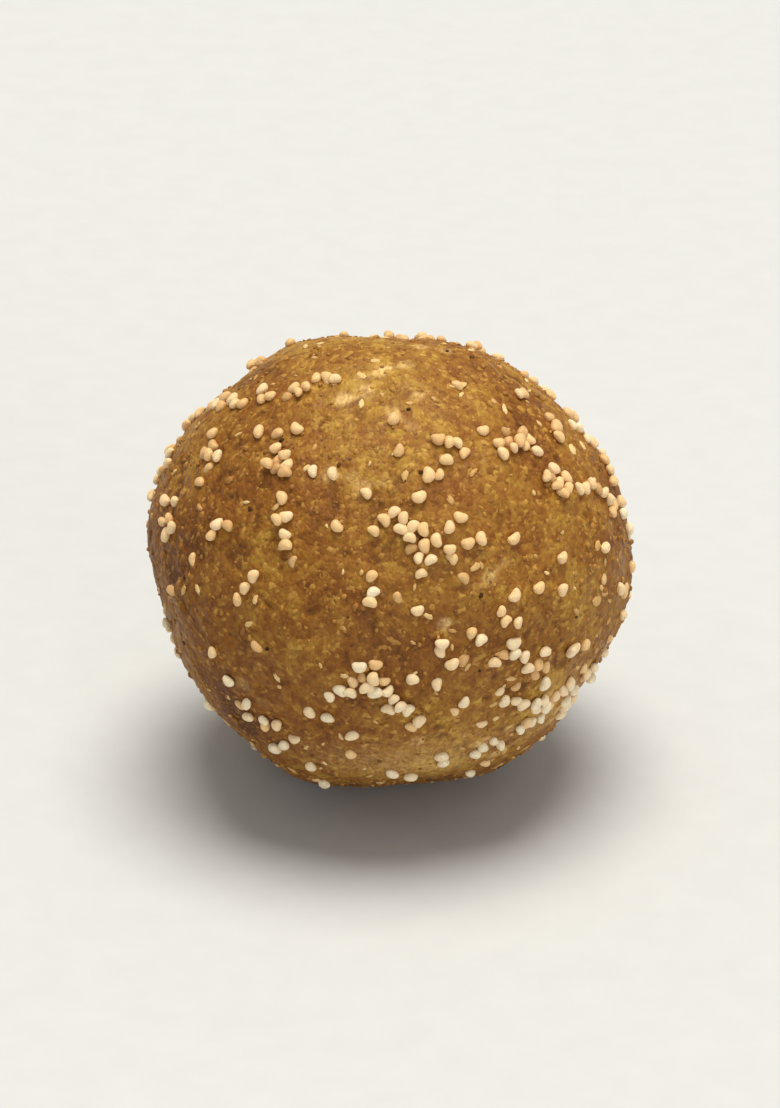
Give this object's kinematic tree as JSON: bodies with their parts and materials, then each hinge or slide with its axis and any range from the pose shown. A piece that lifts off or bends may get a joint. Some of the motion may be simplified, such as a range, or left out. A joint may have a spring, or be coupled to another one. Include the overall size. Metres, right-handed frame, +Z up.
{
  "type": "churma ladoo",
  "caption": "Round hand-rolled sweet of coarse wheat crumb, ghee and jaggery, dusted with poppy seeds, resting on a small flat spot.",
  "frame": {"origin": "under the middle of the ball, on the flat spot that it rests on", "axes": "+Z up from the rest spot through the ball, X along its widest way, Y along its depth"},
  "size_m": [0.045, 0.0442, 0.0434],
  "materials": {
    "dough": "satin",
    "poppy_seed": "satin",
    "crumb_grain": "satin",
    "wheat_flake": "satin",
    "toasted_speck": "satin"
  },
  "bodies": {
    "root": {"ladoo": "dough"}
  },
  "joints": []
}
